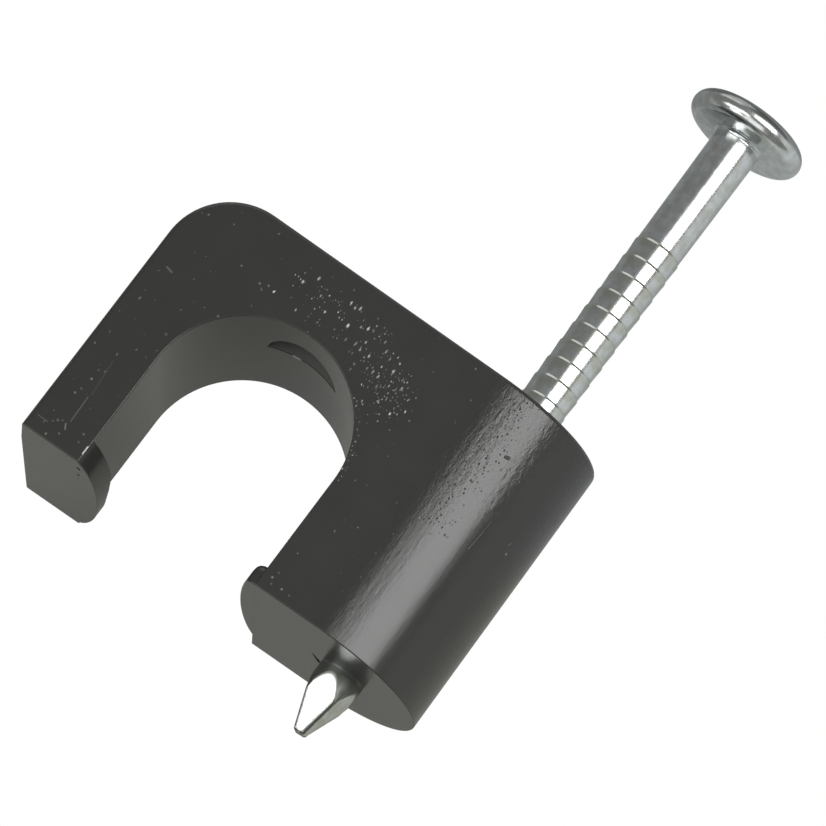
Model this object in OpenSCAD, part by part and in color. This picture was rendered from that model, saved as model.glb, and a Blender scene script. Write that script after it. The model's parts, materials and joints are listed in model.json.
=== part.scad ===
// Nail-in cable clip: a moulded hook that straddles one round cable,
// and a ring-shank nail pushed through its boss.
// The origin is where the nail's axis meets the wall. +Z runs up the nail to its head,
// the cable lies along Y, and the channel is on the -X side of the nail.
// All sizes are in millimetres.

/* [Clip] */
// Length of the clip along the cable
clip_length = 8.2; // [6.5:0.1:12]
// Height of the clip above the wall
clip_height = 12.9; // [11.5:0.1:18]
// Nail axis to the rounded end of the boss
nail_to_end = 3.5; // [2.5:0.1:6]
// Nail axis to the near wall of the channel
nail_to_channel = 4.3; // [3:0.1:8]
// Thickness of the outer leg
leg_thickness = 2.8; // [1.6:0.1:5]
// Radius of the outer shoulder
shoulder_radius = 3; // [0.5:0.1:5]
// Where the mould halves meet, measured from the middle of the clip's length
parting_offset = -0.55; // [-1.5:0.05:1.5]

/* [Channel] */
// Width of the channel between the legs
channel_width = 8.5; // [5:0.1:10]
// Height of the centre of the arch above the wall
arch_height = 5.3; // [4:0.1:7]
// Radius of the half-moon pocket in the roof of the arch
pocket_radius = 1.65; // [0.8:0.05:2]
// Depth of the half-moon pocket above the top of the arch
pocket_depth = 0.75; // [0.3:0.05:1.2]

/* [Lips] */
// Height of the lips at the ends of the legs
lip_height = 0.8; // [0.5:0.1:2]
// How far the outer leg's lip stands into the channel
outer_lip = 0.92; // [0.3:0.02:1.2]
// How far the boss's lip stands into the channel
boss_lip = 0.66; // [0.3:0.02:1.2]
// Half of the outer lip's length along the cable
outer_lip_reach = 4; // [2.5:0.05:6]
// Half of the boss lip's length along the cable, before it is cut off at the front of the clip
boss_lip_reach = 3.95; // [2.5:0.05:6]
// Where the outer lip is deepest, measured from the middle of the clip's length
outer_lip_middle = -0.1; // [-1.5:0.05:1.5]
// Where the boss's lip is deepest, measured from the middle of the clip's length
boss_lip_middle = -1.2; // [-1.5:0.05:1.5]

/* [Nail] */
// Length of the nail from its point to the top of its head
nail_length = 31.75; // [26:0.25:45]
// How far the point stands out of the wall face
point_out = 3; // [2.5:0.1:5]
// Diameter over the rings
ring_diameter = 2.06; // [1.9:0.02:2.6]
// Depth of each ring's shoulder
ring_depth = 0.09; // [0.03:0.01:0.15]
// Spacing of the rings
ring_pitch = 0.88; // [0.5:0.02:1.5]
// Share of each ring that its sloping flank takes up
ring_flank = 0.84; // [0.6:0.02:0.95]
// Length of the ringed part of the shank
ringed_length = 20.3; // [8:0.1:21]
// Length of plain shank between the rings and the head
plain_length = 5.7; // [3:0.1:10]
// Diameter of the plain shank where the rings begin
shank_diameter = 1.98; // [1.7:0.02:2.04]
// Diameter of the plain shank just under the head
neck_diameter = 2.08; // [1.9:0.02:2.4]
// Radial clearance between the rings and the bore in the boss
bore_clearance = 0.03; // [0.01:0.01:0.2]

/* [Nail head] */
// Diameter of the head
head_diameter = 5.2; // [4:0.1:7]
// Thickness of the head at its rounded rim
head_thickness = 1; // [0.6:0.05:1.5]
// Height of the low crown on top of the head
crown_height = 0.2; // [0.05:0.05:0.5]
// Radius of the fillet under the head
head_fillet = 0.2; // [0.05:0.05:0.5]

/* [Nail point] */
// Length of the four facets of the point
facet_length = 2.7; // [1.8:0.1:4]
// Width of the blunt tip across two facets
tip_width = 0.5; // [0.2:0.02:0.8]
// Turn of the facets about the nail's axis, in degrees
facet_turn = 68; // [0:1:89]

/* [Hidden] */
$fn = 96;

// How far a cutter runs past the face it opens
overrun = 0.5;

front = -clip_length / 2;
back = clip_length / 2;
boss_radius = clip_length / 2;
boss_x = nail_to_end - boss_radius;
boss_wall_x = -nail_to_channel;
leg_wall_x = boss_wall_x - channel_width;
outer_x = leg_wall_x - leg_thickness;
channel_x = (boss_wall_x + leg_wall_x) / 2;
arch_radius = channel_width / 2;
arch_top = arch_height + arch_radius;

bore_radius = ring_diameter / 2 + bore_clearance;

nail_top = nail_length - point_out;
head_base = nail_top - crown_height - head_thickness;
rings_top = head_base - plain_length;
ring_count = floor(ringed_length / ring_pitch);
rings_base = rings_top - ring_count * ring_pitch;
crest = ring_diameter / 2;
root = crest - ring_depth;
rim_radius = head_thickness / 2;
rim_centre = head_diameter / 2 - rim_radius;
crown_radius = (rim_centre * rim_centre + crown_height * crown_height) / (2 * crown_height);
facet_angle = atan((shank_diameter - tip_width) / 2 / facet_length);

// Outline of the hook seen along the cable, with the rounded outer shoulder
module hook_profile() {
    translate([outer_x, 0])
        square([nail_to_end - outer_x, clip_height - shoulder_radius]);
    translate([outer_x + shoulder_radius, 0])
        square([nail_to_end - outer_x - shoulder_radius, clip_height]);
    translate([outer_x + shoulder_radius, clip_height - shoulder_radius])
        circle(shoulder_radius);
}

// Outline of the clip seen from above, with the rounded boss end
module plan_profile() {
    translate([outer_x, front])
        square([boss_x - outer_x, clip_length]);
    translate([boss_x, 0])
        circle(boss_radius);
}

module blank() {
    intersection() {
        translate([0, back, 0])
            rotate([90, 0, 0])
                linear_extrude(clip_length)
                    hook_profile();
        linear_extrude(clip_height)
            plan_profile();
    }
}

// Straight legs under a half-round arch, open at the wall and at both ends
module channel() {
    translate([leg_wall_x, front - overrun, -overrun])
        cube([channel_width, clip_length + 2 * overrun, arch_height + overrun]);
    translate([channel_x, back + overrun, arch_height])
        rotate([90, 0, 0])
            cylinder(r = arch_radius, h = clip_length + 2 * overrun);
}

// Half-moon pocket in the roof, its flat side on the parting plane
module roof_pocket() {
    intersection() {
        translate([channel_x, parting_offset, arch_height])
            cylinder(r = pocket_radius, h = arch_radius + pocket_depth);
        translate([channel_x - pocket_radius, parting_offset - pocket_radius, arch_height])
            cube([2 * pocket_radius, pocket_radius, arch_radius + pocket_depth]);
    }
}

// A lip at the foot of a leg: an oval, half sunk in the leg, that ends with the clip's front and back.
// It stands out of the wall at x = 0 towards +X.
module lip(depth, reach, middle) {
    intersection() {
        translate([0, middle, 0])
            scale([depth, reach, 1])
                cylinder(r = 1, h = lip_height);
        translate([-depth, front, 0])
            cube([2 * depth, clip_length, lip_height]);
    }
}

module lips() {
    translate([leg_wall_x, 0, 0])
        lip(outer_lip, outer_lip_reach, outer_lip_middle);
    translate([boss_wall_x, 0, 0])
        mirror([1, 0, 0])
            lip(boss_lip, boss_lip_reach, boss_lip_middle);
}

module nail_bore() {
    translate([0, 0, -overrun])
        cylinder(r = bore_radius, h = clip_height + 2 * overrun);
}

module clip_body() {
    color([0.12, 0.12, 0.115]) {
        difference() {
            blank();
            channel();
            roof_pocket();
            nail_bore();
        }
        lips();
    }
}

// Half section of the shank: each ring widens towards the head and ends in a shoulder
module shank_profile() {
    rings = [
        for (i = [0 : ring_count - 1])
            let (z = rings_base + i * ring_pitch)
                each [[root, z], [crest, z + ring_flank * ring_pitch]]
    ];
    polygon(concat(
        [[0, -point_out], [shank_diameter / 2, -point_out], [shank_diameter / 2, rings_base]],
        rings,
        [[root, rings_top], [shank_diameter / 2, rings_top + ring_depth],
         [neck_diameter / 2, head_base - head_fillet],
         [neck_diameter / 2 + head_fillet, head_base],
         [neck_diameter / 2 + head_fillet, head_base + rim_radius],
         [0, head_base + rim_radius]]
    ));
}

// Half section of the head: a round rim, a flat underside and a low crown
module head_profile() {
    translate([0, head_base])
        square([rim_centre, head_thickness]);
    translate([rim_centre, head_base + rim_radius])
        circle(rim_radius);
    intersection() {
        translate([0, nail_top - crown_radius])
            circle(crown_radius, $fn = 256);
        translate([0, head_base + rim_radius])
            square([rim_centre, rim_radius + crown_height]);
    }
}

// One plane cut of the point, leaning out from the tip to the shank
module facet() {
    translate([tip_width / 2, 0, -point_out])
        rotate([0, facet_angle, 0])
            translate([0, -shank_diameter, -overrun])
                cube([shank_diameter, 2 * shank_diameter, 2 * facet_length]);
}

module nail() {
    color([0.76, 0.78, 0.78])
        difference() {
            union() {
                rotate_extrude()
                    shank_profile();
                rotate_extrude()
                    head_profile();
            }
            for (turn = [0 : 90 : 270])
                rotate([0, 0, facet_turn + turn])
                    facet();
        }
}

clip_body();
nail();
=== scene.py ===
"""Nail-in cable clip: a satin black moulded hook and a bright zinc-plated ring-shank nail.

Pieces are modelled in millimetres, in the frame of the solids, and scaled to metres when done.
"""

import json
import math

import bpy
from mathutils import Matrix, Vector


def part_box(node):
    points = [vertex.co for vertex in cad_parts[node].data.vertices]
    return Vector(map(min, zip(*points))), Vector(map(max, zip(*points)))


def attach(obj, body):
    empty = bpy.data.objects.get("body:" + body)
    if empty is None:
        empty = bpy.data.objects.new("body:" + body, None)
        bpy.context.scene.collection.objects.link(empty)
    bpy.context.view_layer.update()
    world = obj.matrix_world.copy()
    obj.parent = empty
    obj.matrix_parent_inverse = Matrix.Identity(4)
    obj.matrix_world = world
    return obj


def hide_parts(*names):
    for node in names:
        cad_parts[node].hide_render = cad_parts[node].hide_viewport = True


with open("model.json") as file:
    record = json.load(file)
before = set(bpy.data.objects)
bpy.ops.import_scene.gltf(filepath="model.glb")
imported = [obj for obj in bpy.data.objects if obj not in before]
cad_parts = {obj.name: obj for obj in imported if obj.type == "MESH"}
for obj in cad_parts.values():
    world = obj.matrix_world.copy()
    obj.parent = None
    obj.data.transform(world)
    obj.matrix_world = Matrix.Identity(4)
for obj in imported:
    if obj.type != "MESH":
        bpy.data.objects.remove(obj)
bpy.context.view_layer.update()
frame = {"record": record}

# Sizes in millimetres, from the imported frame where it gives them
MM = 0.001
MOUNTS = {mount["name"]: mount for mount in frame["record"]["mounts"]}
CLIP_LOW, CLIP_HIGH = (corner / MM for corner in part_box("clip_body"))
NAIL_LOW, NAIL_HIGH = (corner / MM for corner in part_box("nail"))
CHANNEL = Vector(MOUNTS["cable_channel"]["pos_m"]) / MM
ARCH_RADIUS = MOUNTS["cable_channel"]["dims"]["r_mm"]
FRONT, BACK = CLIP_LOW.y, CLIP_HIGH.y
LENGTH = BACK - FRONT
OUTER_X, BOSS_END = CLIP_LOW.x, CLIP_HIGH.x
BOSS_X = BOSS_END - LENGTH / 2
HEIGHT = CLIP_HIGH.z
LEG_WALL = CHANNEL.x - ARCH_RADIUS
BOSS_WALL = CHANNEL.x + ARCH_RADIUS
ARCH_TOP = CHANNEL.z + ARCH_RADIUS

# Clip details
SHOULDER_RADIUS = 3.0
PARTING_Y = -0.55
RIDGE_Y = -2.26
DRAFT = {FRONT: 0.06, BACK: 0.18}
ROOF_FALL = 0.23
BOSS_TAPER = 0.1
BOSS_REACH = 4.7
BOSS_MARGIN = 0.1
RIM_FILLET = 0.22
RIM_MARGIN = 0.5
FINE_MARGIN = 0.01
EDGE_FILLET = 0.05
OUTER_LIP = {"depth": 0.92, "middle": -0.03, "reach": 4.15, "height": 0.66, "fillet": EDGE_FILLET,
             "corner_cuts": 0, "lifts": 14}
BOSS_LIP = {"depth": 0.66, "middle": -1.1, "reach": 4.18, "height": 0.95, "fillet": 0.38,
            "corner_cuts": 6, "lifts": 0}
LIFT_START = 0.6
LIFT_STEP = 0.15
LIFT_RISE = 0.03
LIP_SINK = 0.4
LIP_ROOT = 0.03
LIP_SETBACK = 0.06
LIP_CORNER = 0.5
POCKET_RADIUS = 1.65
POCKET_DEPTH = 0.75
BORE_RADIUS = 1.06
MOUTH_RADIUS = 1.0
FOOT_PITS = (((-12.79, -3.22), 0.10), ((-12.79, -2.43), 0.07), ((-1.08, 0.22), 0.13), ((-1.2, 0.06), 0.11),
             ((-1.31, -0.1), 0.09), ((-1.4, -0.24), 0.06))
PIT_DEPTH = 0.25
BORE_START = 0.8
MOUTH_DEPTH = 1.0
OVERRUN = 1.0

# Steps of the rounds, merging distances, angles in degrees, and weights of the normals
ROUND_SIDES = 96
LIP_SIDES = 128
PIT_SIDES = 16
SHOULDER_STEPS = 24
ARC_STEPS = 40
FILLET_STEPS = 4
SHORT_OF_ROUND = 0.001
BEVEL_MERGE = 0.003
JOIN_MERGE = 0.0005
TURN_MERGE = 1e-4
CUT_SLACK = 1e-5
CLIP_SHARP = 35
POINT_SHARP = 40
CLIP_SMOOTH = 30
NAIL_SMOOTH = 11
LARGE_FACES = 80
SAME_AREA = 0.1

# Nail details
HEAD_RADIUS = NAIL_HIGH.x
HEAD_SHIFT = 0.04
RIM_RADIUS = 0.5
CROWN_HEIGHT = 0.2
HEAD_BASE = NAIL_HIGH.z - CROWN_HEIGHT - 2 * RIM_RADIUS
HEAD_FILLET = 0.2
NECK_RADIUS = 1.04
SHANK_RADIUS = 0.99
PLAIN_LENGTH = 5.7
RINGS_TOP = HEAD_BASE - PLAIN_LENGTH
RING_PITCH = 0.88
RING_COUNT = 23
CREST = 1.03
RING_DEPTH = 0.04
RING_SHAPE = ((0.0, 0.0), (0.42, 0.48), (0.45, 0.44), (0.48, 0.53), (0.78, 0.97), (0.83, 1.0), (0.87, 0.92),
              (0.92, 0.5), (0.97, 0.08))
FILLET_POINTS = 10
RIM_POINTS = 24
CROWN_POINTS = 10
TIP_SETBACK = 0.08
TIP_Z = NAIL_LOW.z + TIP_SETBACK
FACETS = 4
FACET_LENGTH = 2.62
TIP_WIDTH = 0.48
FACET_TURN = math.radians(78)
RIDGE_FILLET = 0.12

# Camera of the photograph
CAMERA_PLACE = Vector((44.4167, -305.7689, -76.6501))
CAMERA_TURN = (109.3955, -35.3033, -2.5007)
CAMERA_LENS = 352.36
CAMERA_SENSOR = 36


def only(piece):
    """Makes one object the selected and active one."""
    bpy.ops.object.select_all(action="DESELECT")
    piece.select_set(True)
    bpy.context.view_layer.objects.active = piece


def settle(piece):
    """Puts an object's place, turn and size into its mesh."""
    only(piece)
    bpy.ops.object.transform_apply(location=True, rotation=True, scale=True)
    return piece


def add_block(name, low, high):
    """A box between two corners."""
    low, high = Vector(low), Vector(high)
    bpy.ops.mesh.primitive_cube_add(size=1, location=(low + high) / 2)
    block = bpy.context.active_object
    block.name = name
    block.scale = high - low
    return settle(block)


def add_round(name, radius, low, high, sides):
    """An upright cylinder from the centre of its foot to the centre of its top."""
    low, high = Vector(low), Vector(high)
    bpy.ops.mesh.primitive_cylinder_add(
        vertices=sides, radius=radius, depth=(high - low).length, location=(low + high) / 2)
    piece = bpy.context.active_object
    piece.name = name
    return settle(piece)


def open_bare(piece, kind):
    """Opens a piece in edit mode, for edges or for points, with nothing selected."""
    only(piece)
    bpy.ops.object.mode_set(mode="EDIT")
    bpy.ops.mesh.select_mode(type=kind)
    bpy.ops.mesh.select_all(action="DESELECT")


def select_sharp(piece, degrees):
    """Selects the edges of a piece that are sharper than an angle."""
    open_bare(piece, "EDGE")
    bpy.ops.mesh.edges_select_sharp(sharpness=math.radians(degrees))
    bpy.ops.object.mode_set(mode="OBJECT")


def select_edges(piece, test):
    """Opens a piece in edit mode with the edges selected whose two ends pass a test."""
    open_bare(piece, "EDGE")
    bpy.ops.object.mode_set(mode="OBJECT")
    points = piece.data.vertices
    for edge in piece.data.edges:
        edge.select = test(*(points[i].co for i in edge.vertices))
    bpy.ops.object.mode_set(mode="EDIT")


def select_points(piece, test):
    """Opens a piece in edit mode with the points selected that pass a test."""
    open_bare(piece, "VERT")
    bpy.ops.object.mode_set(mode="OBJECT")
    for point in piece.data.vertices:
        point.select = test(point.co)
    bpy.ops.object.mode_set(mode="EDIT")


def move_points(piece, test, by):
    """Moves the points that pass a test."""
    select_points(piece, test)
    bpy.ops.transform.translate(value=by)
    bpy.ops.object.mode_set(mode="OBJECT")


def round_edges(piece, test, radius, segments):
    """Rounds the edges that pass a test."""
    select_edges(piece, test)
    bpy.ops.mesh.bevel(
        offset=radius, offset_type="OFFSET", segments=segments, profile=0.5, clamp_overlap=False)
    bpy.ops.mesh.select_all(action="SELECT")
    bpy.ops.mesh.remove_doubles(threshold=BEVEL_MERGE)
    bpy.ops.object.mode_set(mode="OBJECT")


def slice_piece(piece, point, outward, cut_off):
    """Cuts a piece with a plane; with cut_off, what lies outward goes and the cut is closed."""
    only(piece)
    bpy.ops.object.mode_set(mode="EDIT")
    bpy.ops.mesh.select_all(action="SELECT")
    bpy.ops.mesh.bisect(
        plane_co=point, plane_no=outward, use_fill=cut_off, clear_outer=cut_off, threshold=CUT_SLACK)
    bpy.ops.object.mode_set(mode="OBJECT")


def combine(piece, tool, operation):
    """Joins a tool to a piece or cuts it out of it, merges points that nearly meet and removes the tool."""
    only(piece)
    step = piece.modifiers.new(operation, "BOOLEAN")
    step.operation = operation
    step.solver = "EXACT"
    step.object = tool
    bpy.ops.object.modifier_apply(modifier=step.name)
    bpy.ops.object.mode_set(mode="EDIT")
    bpy.ops.mesh.select_all(action="SELECT")
    bpy.ops.mesh.remove_doubles(threshold=JOIN_MERGE)
    bpy.ops.object.mode_set(mode="OBJECT")
    bpy.data.objects.remove(tool)


def near(value, target, slack=0.002):
    return abs(value - target) < slack


def finish_piece(piece, material, node, smooth_angle):
    """Smooths a piece, scales it to metres, gives it its finish and puts it in the node's place."""
    only(piece)
    bpy.ops.object.shade_smooth_by_angle(angle=math.radians(smooth_angle))
    even = piece.modifiers.new("even normals", "WEIGHTED_NORMAL")
    even.keep_sharp = True
    even.weight = LARGE_FACES
    even.thresh = SAME_AREA
    bpy.ops.object.modifier_apply(modifier=even.name)
    piece.scale = (MM, MM, MM)
    settle(piece)
    piece.data.materials.clear()
    piece.data.materials.append(material)
    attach(piece, "root")
    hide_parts(node)
    return piece


# The moulded clip

def channel_cutter():
    """Straight sides under a half-round top."""
    cutter = add_block(
        "channel", (LEG_WALL, FRONT - OVERRUN, -OVERRUN), (BOSS_WALL, BACK + OVERRUN, ARCH_TOP))
    round_edges(
        cutter,
        lambda a, b: near(a.z, ARCH_TOP) and near(b.z, ARCH_TOP) and near(a.x, b.x),
        ARCH_RADIUS - SHORT_OF_ROUND, ARC_STEPS)
    return cutter


def lip(name, wall, side, depth, middle, reach, height, fillet, corner_cuts, lifts):
    """What stands out of a leg's wall of a sunk upright oval, cut round or lifted at its front."""
    bpy.ops.mesh.primitive_cylinder_add(
        vertices=LIP_SIDES, radius=1, depth=height, location=(wall - side * LIP_SINK, middle, height / 2),
        scale=(depth + LIP_SINK, reach, 1))
    piece = settle(bpy.context.active_object)
    piece.name = name
    corner = Vector((wall, FRONT + LIP_SETBACK + LIP_CORNER, 0))
    for i in range(corner_cuts):
        turn = math.radians(90 * i / corner_cuts)
        outward = Vector((side * math.sin(turn), -math.cos(turn), 0))
        slice_piece(piece, corner + outward * LIP_CORNER, outward, True)
    for i in range(lifts):
        limit = LIFT_START - LIFT_STEP * i
        move_points(piece, lambda point: point.z > height / 2 and point.y < limit, (0, 0, LIFT_RISE))
    round_edges(piece, lambda a, b: max(a.z, b.z) < height / 2, EDGE_FILLET, FILLET_STEPS)
    round_edges(piece, lambda a, b: min(a.z, b.z) > height / 2, fillet, FILLET_STEPS)
    slice_piece(piece, (wall - side * LIP_ROOT, 0, 0), (-side, 0, 0), True)
    return piece


def pocket_cutter():
    """Half of an upright round, with its flat side on the parting plane."""
    foot = (CHANNEL.x, PARTING_Y, CHANNEL.z)
    top = (CHANNEL.x, PARTING_Y, ARCH_TOP + POCKET_DEPTH)
    cutter = add_round("pocket", POCKET_RADIUS, foot, top, ROUND_SIDES)
    slice_piece(cutter, foot, (0, 1, 0), True)
    return cutter


def draft_ends(piece):
    """Draws the outer leg in a little from a ridge towards both ends of the moulding."""
    slice_piece(piece, (0, RIDGE_Y, 0), (0, 1, 0), False)
    for end, inward in DRAFT.items():
        share = 1 - inward / (BOSS_X - OUTER_X)
        select_points(piece, lambda point: near(point.y, end))
        bpy.ops.transform.resize(value=(share, 1, 1), center_override=(BOSS_X, end, 0))
        bpy.ops.object.mode_set(mode="OBJECT")


def soften_edges(piece):
    """Rounds every sharp edge, most of all the rim around the outside of the hook."""
    select_sharp(piece, CLIP_SHARP)
    mesh = piece.data
    weight = mesh.attributes.new("bevel_weight_edge", "FLOAT", "EDGE")
    for edge in mesh.edges:
        if edge.select:
            first, second = (mesh.vertices[i].co for i in edge.vertices)
            middle = (first + second) / 2
            outside = middle.x < LEG_WALL - RIM_MARGIN or middle.z > ARCH_TOP + RIM_MARGIN
            on_rim = outside and middle.z > FINE_MARGIN
            weight.data[edge.index].value = 1 if on_rim else EDGE_FILLET / RIM_FILLET
    step = piece.modifiers.new("fillets", "BEVEL")
    step.limit_method = "WEIGHT"
    step.width = RIM_FILLET
    step.segments = FILLET_STEPS
    step.use_clamp_overlap = False
    bpy.ops.object.modifier_apply(modifier=step.name)


def clip_body(material):
    """The hook from a block: tapered, rounded, drafted, cut, filleted and given its lips."""
    piece = add_block("clip_moulding", (OUTER_X, FRONT, 0), (BOSS_END, BACK, HEIGHT))
    move_points(
        piece,
        lambda point: near(point.x, BOSS_END) and near(point.z, HEIGHT),
        (-BOSS_TAPER, 0, -ROOF_FALL))
    round_edges(
        piece,
        lambda a, b: all(near(p.x, OUTER_X) and near(p.z, HEIGHT) for p in (a, b)),
        SHOULDER_RADIUS, SHOULDER_STEPS)
    round_edges(
        piece,
        lambda a, b: all(near(p.x, BOSS_END, BOSS_TAPER + FINE_MARGIN) for p in (a, b)) and near(a.y, b.y),
        LENGTH / 2 - SHORT_OF_ROUND, ARC_STEPS)
    select_points(piece, lambda point: point.x > BOSS_X - BOSS_MARGIN)
    bpy.ops.transform.resize(value=(BOSS_REACH / (LENGTH / 2), 1, 1), center_override=(BOSS_END, 0, 0))
    bpy.ops.object.mode_set(mode="OBJECT")
    draft_ends(piece)
    combine(piece, channel_cutter(), "DIFFERENCE")
    soften_edges(piece)
    combine(piece, lip("outer_lip", LEG_WALL, 1, **OUTER_LIP), "UNION")
    combine(piece, lip("boss_lip", BOSS_WALL, -1, **BOSS_LIP), "UNION")
    combine(piece, pocket_cutter(), "DIFFERENCE")
    bore = add_round("bore", BORE_RADIUS, (0, 0, BORE_START), (0, 0, HEIGHT + OVERRUN), ROUND_SIDES)
    combine(piece, bore, "DIFFERENCE")
    mouth = add_round("mouth", MOUTH_RADIUS, (0, 0, -OVERRUN), (0, 0, MOUTH_DEPTH), ROUND_SIDES)
    combine(piece, mouth, "DIFFERENCE")
    for (x, y), radius in FOOT_PITS:
        pit = add_round("pit", radius, (x, y, -OVERRUN), (x, y, PIT_DEPTH), PIT_SIDES)
        combine(piece, pit, "DIFFERENCE")
    return finish_piece(piece, material, "clip_body", CLIP_SMOOTH)


# The nail

def nail_profile():
    """Half section from the tip to the crown, as radius and height."""
    points = [(0, TIP_Z), (SHANK_RADIUS, TIP_Z)]
    root = CREST - RING_DEPTH
    for i in range(RING_COUNT):
        base = RINGS_TOP - (RING_COUNT - i) * RING_PITCH
        for share, rise in RING_SHAPE:
            points.append((root + rise * RING_DEPTH, base + share * RING_PITCH))
    points.append((root, RINGS_TOP))
    points.append((SHANK_RADIUS, RINGS_TOP + RING_DEPTH))
    for i in range(FILLET_POINTS + 1):
        turn = math.pi / 2 * i / FILLET_POINTS
        points.append((
            NECK_RADIUS + HEAD_FILLET * (1 - math.cos(turn)),
            HEAD_BASE - HEAD_FILLET * (1 - math.sin(turn))))
    rim_centre = HEAD_RADIUS - RIM_RADIUS
    for i in range(RIM_POINTS + 1):
        turn = math.pi * (i / RIM_POINTS - 0.5)
        points.append((
            rim_centre + RIM_RADIUS * math.cos(turn),
            HEAD_BASE + RIM_RADIUS + RIM_RADIUS * math.sin(turn)))
    crown_radius = (rim_centre ** 2 + CROWN_HEIGHT ** 2) / (2 * CROWN_HEIGHT)
    crown_span = math.asin(rim_centre / crown_radius)
    for i in range(1, CROWN_POINTS + 1):
        turn = crown_span * (1 - i / CROWN_POINTS)
        points.append((
            crown_radius * math.sin(turn),
            NAIL_HIGH.z - crown_radius * (1 - math.cos(turn))))
    return points


def turned(name, profile, steps):
    """Draws a half section as a chain of points and turns it about Z."""
    bpy.ops.mesh.primitive_plane_add(size=1, location=(0, 0, 0))
    piece = bpy.context.active_object
    piece.name = name
    bpy.ops.object.mode_set(mode="EDIT")
    bpy.ops.mesh.select_mode(type="VERT")
    bpy.ops.mesh.select_all(action="SELECT")
    bpy.ops.mesh.merge(type="CENTER")
    place = Vector((profile[0][0], 0, profile[0][1]))
    bpy.ops.transform.translate(value=place)
    for radius, height in profile[1:]:
        target = Vector((radius, 0, height))
        bpy.ops.mesh.extrude_vertices_move(TRANSFORM_OT_translate={"value": target - place})
        place = target
    bpy.ops.object.mode_set(mode="OBJECT")
    turn = piece.modifiers.new("turn", "SCREW")
    turn.axis = "Z"
    turn.steps = steps
    turn.render_steps = steps
    turn.use_merge_vertices = True
    turn.merge_threshold = TURN_MERGE
    bpy.ops.object.modifier_apply(modifier=turn.name)
    bpy.ops.object.mode_set(mode="EDIT")
    bpy.ops.mesh.select_all(action="SELECT")
    bpy.ops.mesh.remove_doubles(threshold=TURN_MERGE)
    bpy.ops.mesh.normals_make_consistent(inside=False)
    bpy.ops.object.mode_set(mode="OBJECT")
    return piece


def cut_point(piece):
    """Cuts the four facets of the point and rounds their ridges."""
    slope = math.atan((SHANK_RADIUS - TIP_WIDTH / 2) / FACET_LENGTH)
    for i in range(FACETS):
        turn = FACET_TURN + i * 2 * math.pi / FACETS
        outward = Vector((math.cos(turn), math.sin(turn), 0))
        point = outward * TIP_WIDTH / 2 + Vector((0, 0, TIP_Z))
        slice_piece(piece, point, outward * math.cos(slope) - Vector((0, 0, math.sin(slope))), True)
    select_sharp(piece, POINT_SHARP)
    top = TIP_Z + FACET_LENGTH
    for edge in piece.data.edges:
        if any(piece.data.vertices[i].co.z > top for i in edge.vertices):
            edge.select = False
    bpy.ops.object.mode_set(mode="EDIT")
    bpy.ops.mesh.bevel(offset=RIDGE_FILLET, segments=FILLET_STEPS, profile=0.5, clamp_overlap=False)
    bpy.ops.object.mode_set(mode="OBJECT")


def nail(material):
    """The turned nail with its point cut and its head set a little to one side."""
    piece = turned("ring_nail", nail_profile(), ROUND_SIDES)
    cut_point(piece)
    move_points(piece, lambda point: point.z > HEAD_BASE - HEAD_FILLET / 2, (HEAD_SHIFT, 0, 0))
    return finish_piece(piece, material, "nail", NAIL_SMOOTH)


# Finishes

class Wire:
    """A shader socket that takes part in Python arithmetic; each operation adds a Math node."""

    def __init__(self, tree, socket=None):
        self.tree = tree
        self.socket = socket

    def add(self, kind, settings=None, inputs=None, out=0):
        """Adds a node of any type: first its settings, then the values or links of its sockets."""
        node = self.tree.nodes.new(kind)
        for key, value in (settings or {}).items():
            setattr(node, key, value)
        for key, value in (inputs or {}).items():
            if isinstance(value, Wire):
                self.tree.links.new(value.socket, node.inputs[key])
            else:
                node.inputs[key].default_value = value
        return Wire(self.tree, node.outputs[out] if node.outputs else None)

    def other(self, out):
        """Another output of the same node."""
        return Wire(self.tree, self.socket.node.outputs[out])

    def math(self, operation, *values):
        return self.add("ShaderNodeMath", {"operation": operation}, dict(enumerate((self,) + values)))

    def __add__(self, other):
        return self.math("ADD", other)

    def __radd__(self, other):
        return self.math("ADD", other)

    def __sub__(self, other):
        return self.math("SUBTRACT", other)

    def __rsub__(self, other):
        return self.math("MULTIPLY", -1).math("ADD", other)

    def __mul__(self, other):
        return self.math("MULTIPLY", other)

    def __rmul__(self, other):
        return self.math("MULTIPLY", other)

    def __truediv__(self, other):
        return self.math("DIVIDE", other)

    def __rtruediv__(self, other):
        return self.add("ShaderNodeMath", {"operation": "DIVIDE"}, {0: other, 1: self})

    def __abs__(self):
        return self.math("ABSOLUTE")


def smooth(value, low, high):
    """0 at low and 1 at high, with soft ends; low may be the larger one."""
    return value.add(
        "ShaderNodeMapRange", {"interpolation_type": "SMOOTHSTEP"},
        {"Value": value, "From Min": low, "From Max": high})


def noise(place, scale, detail=2.0):
    return place.add("ShaderNodeTexNoise", inputs={"Vector": place, "Scale": scale, "Detail": detail})


def stretch(place, x, y, z):
    """Coordinates stretched along the axes, so that a pattern becomes streaks."""
    return place.add("ShaderNodeVectorMath", {"operation": "MULTIPLY"}, {0: place, 1: (x, y, z)})


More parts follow.
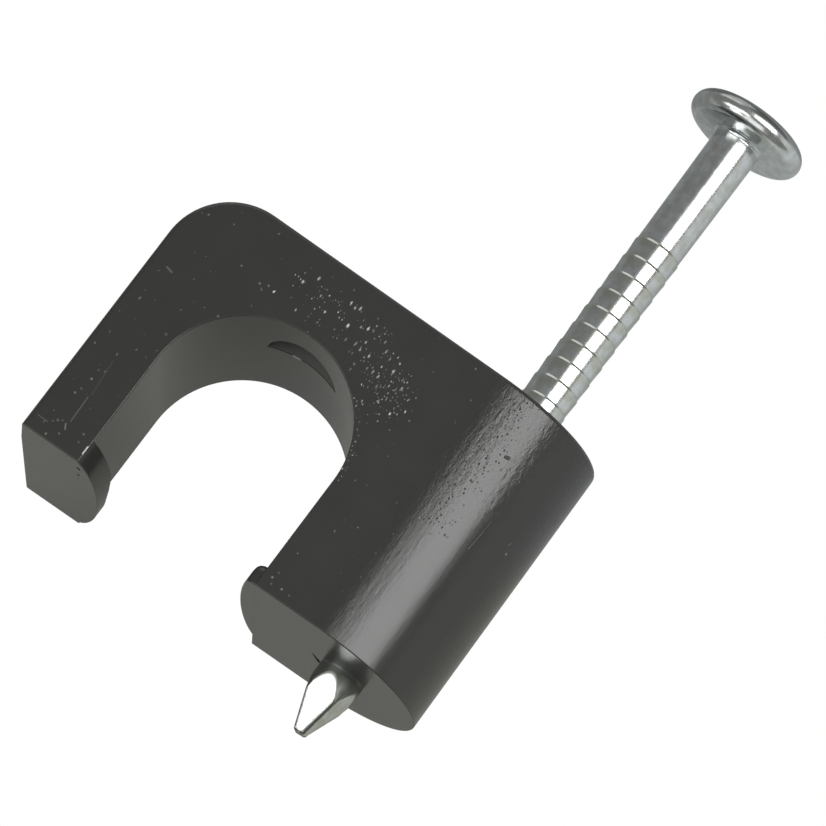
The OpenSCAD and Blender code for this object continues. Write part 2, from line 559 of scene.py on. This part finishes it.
def dots(u, v, scale, radius, share):
    """Ragged dots of several sizes in a share of the cells of a flat pattern, 1 in a dot's middle."""
    place = u.add("ShaderNodeCombineXYZ", inputs={0: u, 1: v})
    sway = noise(place, 2.5 * scale, 1.0).other("Color")
    bend = (0.35 / scale, 0.35 / scale, 0)
    place = place.add(
        "ShaderNodeVectorMath", {"operation": "MULTIPLY_ADD"}, {0: sway, 1: bend, 2: place})
    reach = place.add(
        "ShaderNodeTexVoronoi", {"voronoi_dimensions": "2D"}, {"Vector": place, "Scale": scale})
    chance = reach.add("ShaderNodeSeparateColor", inputs={0: reach.other("Color")})
    size = (chance.other("Green") + 0.4) * (radius * scale)
    strength = chance.other("Blue") * chance.other("Blue") * 0.8 + 0.2
    return smooth(reach, size, 0) * chance.math("LESS_THAN", share) * strength


def mix_colours(fraction, first, second):
    return fraction.add(
        "ShaderNodeMix", {"data_type": "RGBA"}, {"Factor": fraction, "A": first, "B": second}, out="Result")


def mark(place, first, second, width):
    """A short line or, with both ends alike, a spot: 1 on it and 0 at its width."""
    first, second = Vector(first), Vector(second)
    run = second - first
    away = place.add("ShaderNodeVectorMath", {"operation": "SUBTRACT"}, {0: place, 1: first})
    along = away.add("ShaderNodeVectorMath", {"operation": "DOT_PRODUCT"}, {0: away, 1: run}, out="Value")
    along = along.math("MULTIPLY", 1 / max(run.length_squared, 1e-6))
    along = along.add("ShaderNodeClamp", inputs={"Value": along})
    step = along.add("ShaderNodeVectorMath", {"operation": "SCALE"}, {0: run, "Scale": along})
    gap = away.add("ShaderNodeVectorMath", {"operation": "DISTANCE"}, {0: away, 1: step}, out="Value")
    return smooth(gap, width, 0)


def new_material(name):
    """A material, its shader and Object coordinates in millimetres, whole and split into x, y and z."""
    material = bpy.data.materials.new(name)
    material.use_nodes = True
    tree = material.node_tree
    place = Wire(tree).add("ShaderNodeTexCoord", out="Object")
    place = place.add("ShaderNodeVectorMath", {"operation": "SCALE"}, {0: place, "Scale": 1 / MM})
    x = place.add("ShaderNodeSeparateXYZ", inputs={0: place})
    return material, tree.nodes["Principled BSDF"], place, (x, x.other("Y"), x.other("Z"))


def feed(shader, colour, roughness, height):
    """Links a colour, a roughness and a height in millimetres to a shader."""
    relief = height.add("ShaderNodeBump", inputs={"Height": height, "Distance": MM})
    height.tree.links.new(colour.socket, shader.inputs["Base Color"])
    height.tree.links.new(roughness.socket, shader.inputs["Roughness"])
    height.tree.links.new(relief.socket, shader.inputs["Normal"])


# Light spots painted on the front of the clip, the last one a painted glint on the front edge of the outer
# leg's wall: two ends as x and z, width and strength
FRONT_MARKS = (
    ((-14.06, 2.38), (-14.02, 1.18), 0.05, 0.30), ((-14.12, 0.99), (-14.01, 0.78), 0.05, 0.7),
    ((-14.51, 0.22), (-14.51, 0.18), 0.06, 0.8), ((-14.09, 0.51), (-14.09, 0.51), 0.08, 0.5),
    ((-13.3, 1.05), (-13.3, 1.05), 0.08, 0.6), ((-13.27, 0.67), (-13.27, 0.67), 0.08, 0.35),
    ((-14.46, 0.93), (-14.46, 0.93), 0.09, 0.5), ((-14.6, 0.79), (-14.6, 0.79), 0.08, 0.3),
    ((-14.58, 2.24), (-14.58, 2.24), 0.09, 0.6), ((-14.48, 2.52), (-14.48, 2.52), 0.09, 0.35),
    ((-14.39, 3.08), (-14.39, 3.08), 0.09, 0.8), ((-14.38, 3.53), (-14.38, 3.53), 0.08, 0.3),
    ((-14.14, 3.63), (-14.14, 3.63), 0.08, 0.4), ((-15.16, 4.36), (-15.16, 4.36), 0.08, 0.5),
    ((-15.19, 0.65), (-14.76, 0.64), 0.05, 0.25), ((-14.0, 2.57), (-14.14, 4.15), 0.05, 0.1),
    ((-14.67, 11.32), (-14.67, 11.32), 0.08, 0.6), ((-14.71, 8.58), (-14.44, 8.51), 0.08, 0.35),
    ((-12.37, 10.35), (-12.37, 10.35), 0.08, 0.6), ((-11.36, 10.17), (-11.36, 10.17), 0.08, 0.8),
    ((-11.02, 10.3), (-11.02, 10.3), 0.08, 0.7), ((-11.89, 8.1), (-11.89, 8.1), 0.08, 0.6),
    ((-13.11, 6.29), (-13.11, 6.29), 0.12, 0.25), ((-3.91, 0.63), (-3.91, 0.63), 0.09, 0.8),
    ((-3.33, 0.45), (-3.33, 0.45), 0.09, 0.8), ((-2.95, 0.41), (-2.95, 0.41), 0.08, 0.35),
    ((-3.81, 0.93), (-3.81, 0.93), 0.08, 0.35), ((-3.79, 0.39), (-3.79, 0.39), 0.08, 0.4),
    ((-12.86, 0.38), (-12.86, 0.72), 0.06, 2.4))

# Shares of those widths and strengths that are used
MARK_WIDTH = 0.85
MARK_STRENGTH = 0.35

# Painted glints on the boss, a sunk line and a dent with painted shade, as x and z, and a painted glint at
# the pocket's edge
BOSS_GLINTS = (
    ((2.72, 7.27), (2.72, 7.27), 0.1), ((2.6, 7.6), (2.66, 7.75), 0.07))
EDGE_LINE = ((1.5, 6.3), (1.62, 8.3))
DENT = ((0.6, 10.1), (0.72, 10.14))
POCKET_GLINT = ((-9.12, PARTING_Y, 9.51), (-8.87, PARTING_Y, 9.53))
LINE_WIDTH = 0.07
DENT_WIDTH = 0.1
GLINT_WIDTH = 0.12

# Plastic: colours, with painted glints on the speck bumps, painted shade in the pits and painted light in
# the pocket, gloss, relief in millimetres, and how far from the arch's centre the speck bands lie
PLASTIC_DARK = (0.032, 0.032, 0.030, 1)
PLASTIC_LIGHT = (0.037, 0.037, 0.035, 1)
SPECK_GLINT_COLOUR = (0.75, 0.76, 0.73, 1)
PIT_SHADE_COLOUR = (0.012, 0.012, 0.011, 1)
POCKET_PAINTED_LIGHT = (0.16, 0.16, 0.15, 1)
PLASTIC_IOR = 1.5
PLASTIC_ROUGHNESS = 0.2
CLOUD_ROUGHNESS = 0.05
PIT_ROUGHNESS = 0.3
TOP_ROUGHNESS = 0.4
SPECK_RISE = 0.005
PIT_FALL = 0.02
LINE_FALL = 0.005
WELD_REACH = 5.7
FRINGE_REACH = 4.4

# Where the plastic's marks fade: each pair holds the two ends of a soft step
FRONT_SKIN = (FRONT + 0.1, FRONT + 0.02)
TOP_SKIN = (0.1, 0.05)
WELD_BAND = (1.2, 0.5)
WELD_START = (0.5, 0.85)
WELD_END = (2.1, 1.6)
CROWD_END = (1.25, 0.8)
FRINGE_BAND = (0.16, 0.06)
FRINGE_START = (-0.1, 0.2)
FRINGE_END = (1.1, 0.7)
PITTED_X = -0.1
PITTED_WIDTH = (0.9, 0.3)
PITTED_START = (5.2, 6.6)
PITTED_FRONT = (-2.0, -3.0)
BOSS_LEFT = (0.9, -0.3)
BOSS_UPPER = (6, 10)
BOSS_START = (-2.0, -0.6)
BOSS_FRONT = (1.0, -1.0)
CREASED_START = (5, 7)
POCKET_SIDE = (POCKET_RADIUS + 0.1, POCKET_RADIUS)
POCKET_FLAT = (PARTING_Y + 0.05, PARTING_Y)
POCKET_MOUTH = (ARCH_RADIUS, ARCH_RADIUS + 0.05)
POCKET_ROOF = (5.5, 5.2)
POCKET_FRONT = (FRONT + 0.5, FRONT + 1)


def on_boss(x, z):
    """The point of the boss's round front at a place across and up."""
    share = (x - BOSS_END + BOSS_REACH) / BOSS_REACH
    return Vector((x, -LENGTH / 2 * math.sqrt(1 - share * share), z))


def melt_specks(x, y, z, reach, bearing):
    """Specks on the front: a cloud where the melt met, a fringe along the arch and some strays; raised a
    little and painted light as glints.
    """
    weld = smooth(abs(reach - WELD_REACH), *WELD_BAND)
    weld = weld * smooth(bearing, *WELD_START) * smooth(bearing, *WELD_END)
    crowd = weld * (smooth(bearing, *CROWD_END) * 0.5 + 0.35)
    fringe = smooth(abs(reach - FRINGE_REACH), *FRINGE_BAND)
    fringe = fringe * smooth(bearing, *FRINGE_START) * smooth(bearing, *FRINGE_END)
    large = dots(x, z * 0.5, 4.4, 0.05, crowd)
    small = dots(x, z * 0.6, 7.0, 0.03, crowd + fringe)
    strays = dots(x, z * 0.8, 1.6, 0.04, 0.5)
    return (large + small * 0.7 + strays * 0.3) * smooth(y, *FRONT_SKIN)


def light_spots_and_glints(place):
    """Light spots on the front, one of them a painted glint, painted glints on the boss and a painted glint
    at the pocket's edge.
    """
    marks = mark(place, *POCKET_GLINT, GLINT_WIDTH) * 0.8
    for first, second, width, strength in FRONT_MARKS:
        ends = [(across, FRONT, up) for across, up in (first, second)]
        marks = marks + mark(place, *ends, width * MARK_WIDTH) * (strength * MARK_STRENGTH)
    for first, second, width in BOSS_GLINTS:
        marks = marks + mark(place, on_boss(*first), on_boss(*second), width) * 0.5
    return marks


def boss_pits(place, x, y, z):
    """Small pits in the upper middle of the boss's front, and one dent."""
    pitted = smooth(abs(x - PITTED_X), *PITTED_WIDTH)
    pitted = pitted * smooth(z, *PITTED_START) * smooth(y, *PITTED_FRONT)
    pits = dots(x * 1.3, z * 0.9, 6.0, 0.05, pitted * 0.65) * 0.75
    return pits + mark(place, *(on_boss(*end) for end in DENT), DENT_WIDTH)


def boss_relief(place, x, y, z):
    """Streaks, wrinkles and creases on the boss's front, stronger at its left and its upper part."""
    left = smooth(x, *BOSS_LEFT)
    upper = smooth(z, *BOSS_UPPER)
    streaks = noise(stretch(place, 1, 1, 0.16), 7.0, 3.0)
    wrinkles = noise(stretch(place, 1, 1, 0.6), 5.5, 4.0)
    creases = noise(stretch(place, 1, 1, 0.7), 11.0, 2.0)
    relief = streaks * (0.003 + left * 0.006) + wrinkles * (upper * 0.016 + left * 0.008)
    relief = relief + creases * (left * smooth(z, *CREASED_START) * 0.008)
    return relief * (smooth(x, *BOSS_START) * smooth(y, *BOSS_FRONT))


def pocket_mask(y, aside, reach):
    """1 in the half-moon pocket."""
    inside = smooth(abs(aside), *POCKET_SIDE)
    inside = inside * smooth(y, *POCKET_FLAT)
    inside = inside * smooth(reach, *POCKET_MOUTH)
    inside = inside * smooth(reach, *POCKET_ROOF)
    return inside * smooth(y, *POCKET_FRONT)


def black_plastic():
    """Satin moulding, less glossy on top: speck bumps painted light as glints, light spots and painted
    glints, a wrinkled and pitted boss with painted shade in its pits, and painted light in the pocket.
    """
    material, shader, place, (x, y, z) = new_material("satin black plastic")
    aside, above = x - CHANNEL.x, z - CHANNEL.z
    reach = (aside * aside + above * above).math("SQRT")
    bearing = above.math("ARCTAN2", aside)
    specks_and_glints = melt_specks(x, y, z, reach, bearing) + light_spots_and_glints(place)
    pits = boss_pits(place, x, y, z)
    line = mark(place, *(on_boss(*end) for end in EDGE_LINE), LINE_WIDTH)
    cloud = noise(place, 0.5)
    below_top = HEIGHT - (x - OUTER_X) * (ROOF_FALL / (BOSS_END - OUTER_X)) - z
    on_top = smooth(below_top, *TOP_SKIN)
    colour = mix_colours(cloud, PLASTIC_DARK, PLASTIC_LIGHT)
    # Painted glints: the speck bumps, light spots and glint marks get a light colour
    colour = mix_colours(specks_and_glints.math("MINIMUM", 1), colour, SPECK_GLINT_COLOUR)
    # Painted shade: the pits and the dent are darkened as if shaded
    colour = mix_colours(pits.math("MINIMUM", 1), colour, PIT_SHADE_COLOUR)
    # Painted light: the pocket's wall gets a lighter colour in place of the light it lacks
    colour = mix_colours(pocket_mask(y, aside, reach), colour, POCKET_PAINTED_LIGHT)
    roughness = cloud * CLOUD_ROUGHNESS + pits * PIT_ROUGHNESS
    roughness = roughness + on_top * TOP_ROUGHNESS + PLASTIC_ROUGHNESS
    height = boss_relief(place, x, y, z) + specks_and_glints * SPECK_RISE - pits * PIT_FALL - line * LINE_FALL
    feed(shader, colour, roughness, height)
    shader.inputs["IOR"].default_value = PLASTIC_IOR
    return material


# Zinc: colours, among them painted dark reflections on the ridges and the rim and painted shade on the
# stub, and gloss
ZINC_GREY = (0.62, 0.64, 0.60, 1)
ZINC_BLUE = (0.74, 0.78, 0.80, 1)
STAIN_COLOUR = (0.50, 0.52, 0.38, 1)
RIDGE_DARK_REFLECTION = (0.12, 0.13, 0.12, 1)
STUB_SHADE_COLOUR = (0.14, 0.15, 0.13, 1)
RIM_DARK_REFLECTION = (0.16, 0.17, 0.17, 1)
ZINC_ROUGHNESS = 0.12

# Where the zinc changes: each pair holds the two ends of a soft step
RINGED_END = (RINGS_TOP + 0.02, RINGS_TOP)
STAIN_STEP = (0.3, 0.7)
MOTTLE_STEP = (0.35, 0.7)
STUB_START = (0.1, -0.1)
STUB_SKIN = (SHANK_RADIUS - 0.06, SHANK_RADIUS - 0.01)
RIDGE_WIDTH = (0.13, 0.07)
POINT_START = (-0.5, -0.8)
RIM_HEIGHT = (HEAD_BASE + 0.53, HEAD_BASE + 0.68)
RIM_REACH = (2.0, 2.3)


def zinc_plate():
    """Bright plating with streaks and a mottle; stained rings, a rough stub with painted shade, and painted
    dark reflections on the ridges and the rim.
    """
    material, shader, place, (x, y, z) = new_material("bright zinc plate")
    streaks = noise(stretch(place, 5, 5, 0.5), 1.0, 3.0)
    mottle = noise(place, 2.6, 3.0)
    grain = noise(place, 9.0)
    ring = ((z - RINGS_TOP) / RING_PITCH).math("FRACT")
    stain = smooth(ring, *STAIN_STEP) * smooth(z, *RINGED_END)
    out = (x * x + y * y).math("SQRT")
    rough_shaded_stub = smooth(z, *STUB_START) * smooth(out, *STUB_SKIN)
    across, along = math.cos(FACET_TURN + math.pi / 4), math.sin(FACET_TURN + math.pi / 4)
    ridge = abs(x * across + y * along).math("MINIMUM", abs(y * across - x * along))
    ridge = smooth(ridge + (grain - 0.5) * 0.12, *RIDGE_WIDTH) * smooth(z, *POINT_START)
    rim_top = smooth(z, *RIM_HEIGHT) * smooth(out, *RIM_REACH)
    colour = mix_colours(smooth(mottle, *MOTTLE_STEP), ZINC_GREY, ZINC_BLUE)
    colour = mix_colours(stain * 0.35, colour, STAIN_COLOUR)
    # Painted dark reflection along the ridges of the point
    colour = mix_colours(ridge * 0.8, colour, RIDGE_DARK_REFLECTION)
    # Painted shade on the full-width stub below the clip's foot; the same mask also roughens it
    colour = mix_colours(rough_shaded_stub * 0.85, colour, STUB_SHADE_COLOUR)
    # Painted dark reflection on the top of the head's rim
    colour = mix_colours(rim_top * 0.65, colour, RIM_DARK_REFLECTION)
    roughness = ZINC_ROUGHNESS + streaks * 0.12 + grain * 0.05 + rough_shaded_stub * 0.3
    height = streaks * 0.002 + mottle * 0.004 + grain * 0.0008
    feed(shader, colour, roughness, height)
    shader.inputs["Metallic"].default_value = 1
    return material


# Stage, light and camera

# The table's plane, the places of painted shadow in its reflection as x and z, a painted lighter right side
# and a tint low down in its reflection, and the light of table and room
SHEET_Y = BACK + 0.05
BEHIND_NAIL = ((-2.8, 12), (-2.0, 24.8))
IN_CHANNEL = ((-11.5, 3), (-7, 6.5))
NAIL_SHADE_WIDTH = 1.9
CHANNEL_SHADE_WIDTH = 6
LEFT_OF_NAIL = (-2.5 * MM, -5 * MM)
UP_THE_NAIL = (11 * MM, 14 * MM)
RIGHT_SIDE = (2 * MM, 11 * MM)
LOWER_PART = (11 * MM, 8 * MM)
PAPER_COLOUR = (0.86, 0.87, 0.82, 1)
UPPER_TINT = (0.97, 1, 1, 1)
LOWER_TINT = (1, 1, 0.92, 1)
WHITE = (1, 1, 1, 1)
SHEET_GLOW = 0.41
ROOM_GLOW = 0.15
ROOM_GLOSS = 0.12
LAMP_AIM = Vector((-4, 0, 12)) * MM

# Lamps: name, direction from the part, distance, width and height in metres, and radiance
LAMPS = (
    ("key", (0.525, -0.816, 0.24), 0.25, 0.132, 0.12, 6.2),
    ("key edge", (0.173, -0.955, 0.24), 0.25, 0.068, 0.12, 2.9),
    ("side", (-0.51, -0.80, -0.32), 0.25, 0.22, 0.07, 2.6),
    ("right", (0.96, -0.14, 0.24), 0.30, 0.20, 0.20, 0.45),
    ("fill", (0.10, -0.68, -0.72), 0.30, 0.20, 0.20, 1),
    ("low", (-0.46, -0.56, -0.68), 0.25, 0.08, 0.08, 3),
    ("top", (-0.50, -0.30, 0.81), 0.25, 0.20, 0.20, 0.7),
    ("rear", (-0.35, 0.80, 0.48), 0.30, 0.25, 0.20, 4))


def sheet_mark(place, ends, width):
    """A mark on the table between two places given as x and z, in millimetres."""
    return mark(place, *(Vector((across, SHEET_Y, up)) * MM for across, up in ends), width * MM)


def table():
    """The table behind the part: white to the eye, glowing in the part's gloss with painted shadows and a
    painted lighter right side, open from its far side.
    """
    bpy.ops.mesh.primitive_plane_add(
        size=1, location=(0, SHEET_Y * MM, 0), rotation=(math.pi / 2, 0, 0))
    sheet = settle(bpy.context.active_object)
    sheet.name = "table"
    material = bpy.data.materials.new("white table")
    material.use_nodes = True
    tree = material.node_tree
    tree.nodes.clear()
    to_eye = Wire(tree).add("ShaderNodeLightPath", out="Is Camera Ray")
    in_gloss = to_eye.other("Is Glossy Ray")
    paper = to_eye.add("ShaderNodeBsdfDiffuse", inputs={"Color": PAPER_COLOUR})
    place = to_eye.add("ShaderNodeTexCoord", out="Object")
    x = place.add("ShaderNodeSeparateXYZ", inputs={0: place})
    z = x.other("Z")
    # Painted shadows of the nail and of the clip over the channel, seen only in reflections
    shade = 1 - sheet_mark(place, BEHIND_NAIL, NAIL_SHADE_WIDTH) * 0.9
    shade = shade - sheet_mark(place, IN_CHANNEL, CHANNEL_SHADE_WIDTH) * 0.4
    # Painted shadow left of the upper nail; the next line also paints the right side lighter
    beside_nail = smooth(x, *LEFT_OF_NAIL) * smooth(z, *UP_THE_NAIL)
    shade = shade - beside_nail * 0.36 + smooth(x, *RIGHT_SIDE) * 0.5
    tint = mix_colours(smooth(z, *LOWER_PART), UPPER_TINT, LOWER_TINT)
    tint = mix_colours(in_gloss, WHITE, tint)
    glow = to_eye.add(
        "ShaderNodeEmission", inputs={"Color": tint, "Strength": to_eye + in_gloss * shade * SHEET_GLOW})
    clear = to_eye.add("ShaderNodeBsdfTransparent")
    far_side = to_eye.add("ShaderNodeNewGeometry", out="Backfacing")
    is_open = far_side.math("MAXIMUM", to_eye.other("Transparent Depth"))
    shining = to_eye.math("MAXIMUM", in_gloss)
    white = to_eye.add("ShaderNodeMixShader", inputs={0: shining, 1: paper, 2: glow})
    white = to_eye.add("ShaderNodeMixShader", inputs={0: is_open, 1: white, 2: clear})
    to_eye.add("ShaderNodeOutputMaterial", inputs={"Surface": white})
    sheet.data.materials.append(material)


def softbox(name, direction, distance, width, height, radiance):
    """A rectangular lamp that faces the part from a direction, at a distance in metres."""
    data = bpy.data.lights.new(name, "AREA")
    data.shape = "RECTANGLE"
    data.size = width
    data.size_y = height
    data.energy = radiance * math.pi * width * height
    lamp = bpy.data.objects.new(name, data)
    bpy.context.scene.collection.objects.link(lamp)
    away = Vector(direction).normalized()
    lamp.location = LAMP_AIM + away * distance
    lamp.rotation_mode = "QUATERNION"
    lamp.rotation_quaternion = away.to_track_quat("Z", "Y")


def surroundings():
    """White to the eye, and a grey room for everything else."""
    world = bpy.data.worlds.new("room")
    bpy.context.scene.world = world
    world.use_nodes = True
    world.node_tree.nodes.clear()
    to_eye = Wire(world.node_tree).add("ShaderNodeLightPath", out="Is Camera Ray")
    strength = to_eye * (1 - ROOM_GLOW) + ROOM_GLOW + to_eye.other("Is Glossy Ray") * ROOM_GLOSS
    glow = to_eye.add("ShaderNodeBackground", inputs={"Strength": strength})
    to_eye.add("ShaderNodeOutputWorld", inputs={"Surface": glow})


def photo_camera():
    """The camera that was fitted to the photograph."""
    data = bpy.data.cameras.new("photo camera")
    data.lens = CAMERA_LENS
    data.sensor_width = CAMERA_SENSOR
    data.clip_start = 0.01
    data.clip_end = 10
    camera = bpy.data.objects.new("photo camera", data)
    bpy.context.scene.collection.objects.link(camera)
    camera.location = CAMERA_PLACE * MM
    camera.rotation_euler = [math.radians(turn) for turn in CAMERA_TURN]
    bpy.context.scene.camera = camera


photo_camera()
clip_body(black_plastic())
nail(zinc_plate())
table()
surroundings()
for lamp_facts in LAMPS:
    softbox(*lamp_facts)
bpy.context.scene.view_settings.view_transform = "Standard"
